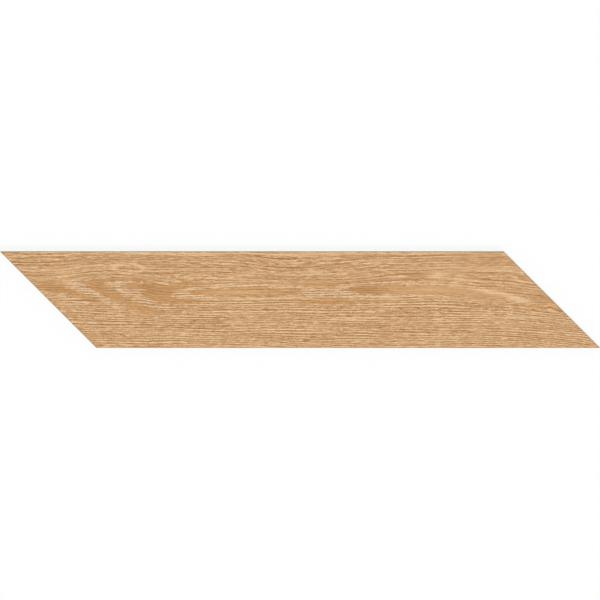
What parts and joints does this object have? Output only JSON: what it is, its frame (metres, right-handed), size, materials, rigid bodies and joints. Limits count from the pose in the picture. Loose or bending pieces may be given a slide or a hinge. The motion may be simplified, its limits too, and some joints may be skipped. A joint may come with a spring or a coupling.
{
  "type": "chevron wall tile",
  "caption": "Parallelogram plank tile of fired porcelain with mitred ends, a limed-oak grain face, eased arrises and a ribbed back, laid in zigzag courses.",
  "frame": {"origin": "middle of the ribbed back, in the plane of the rib tops on which the tile lies", "axes": "+X along the plank and its grain, towards the acute tip on the -Y side; +Y square across the plank; +Z out of the printed face"},
  "size_m": [0.584, 0.094, 0.009],
  "materials": {
    "oak_print_porcelain": "matt, faintly brushed along the grain"
  },
  "bodies": {
    "root": {"tile": "oak_print_porcelain"}
  },
  "joints": []
}
